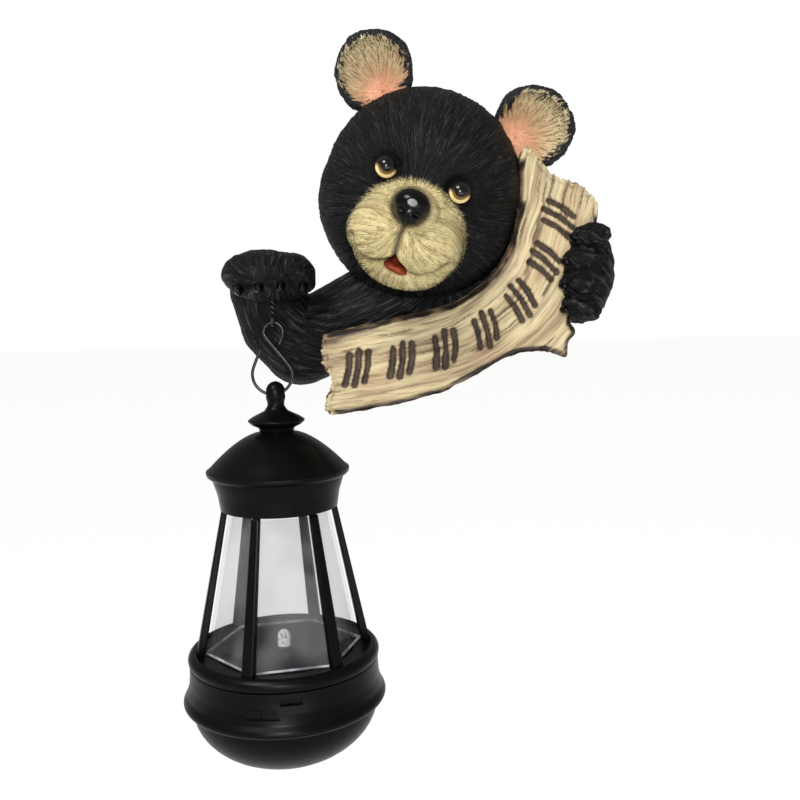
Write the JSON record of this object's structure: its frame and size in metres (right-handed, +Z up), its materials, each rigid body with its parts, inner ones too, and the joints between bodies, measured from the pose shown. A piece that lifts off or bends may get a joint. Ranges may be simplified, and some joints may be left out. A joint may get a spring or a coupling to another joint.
{
  "type": "solar garden bear statue",
  "caption": "Wall-hung bear cub in painted resin that leans over a curved timber board and holds a solar lantern on a wire hook from its paw.",
  "frame": {"origin": "the hanging point on the flat back of the head, which lies on the wall", "axes": "+Z up, +X to the right seen from the front, the figure faces -Y and its flat back faces +Y"},
  "size_m": [0.1674, 0.0858, 0.2759],
  "materials": {
    "painted_resin": "hand-painted cast resin, black fur with a cream muzzle and a tan board",
    "wire": "black steel wire",
    "black_plastic": "satin black",
    "clear_plastic": "clear, slightly grey",
    "deck_plastic": "glossy black",
    "lamp_plastic": "water-clear lens"
  },
  "bodies": {
    "root": {"bear_and_board": "painted_resin", "wire_eye": "wire", "s_hook": "wire", "lantern_roof": "black_plastic", "lantern_frame": "black_plastic", "clear_sleeve": "clear_plastic", "lantern_deck": "deck_plastic", "lamp": "lamp_plastic", "lantern_bowl": "black_plastic"}
  },
  "joints": []
}
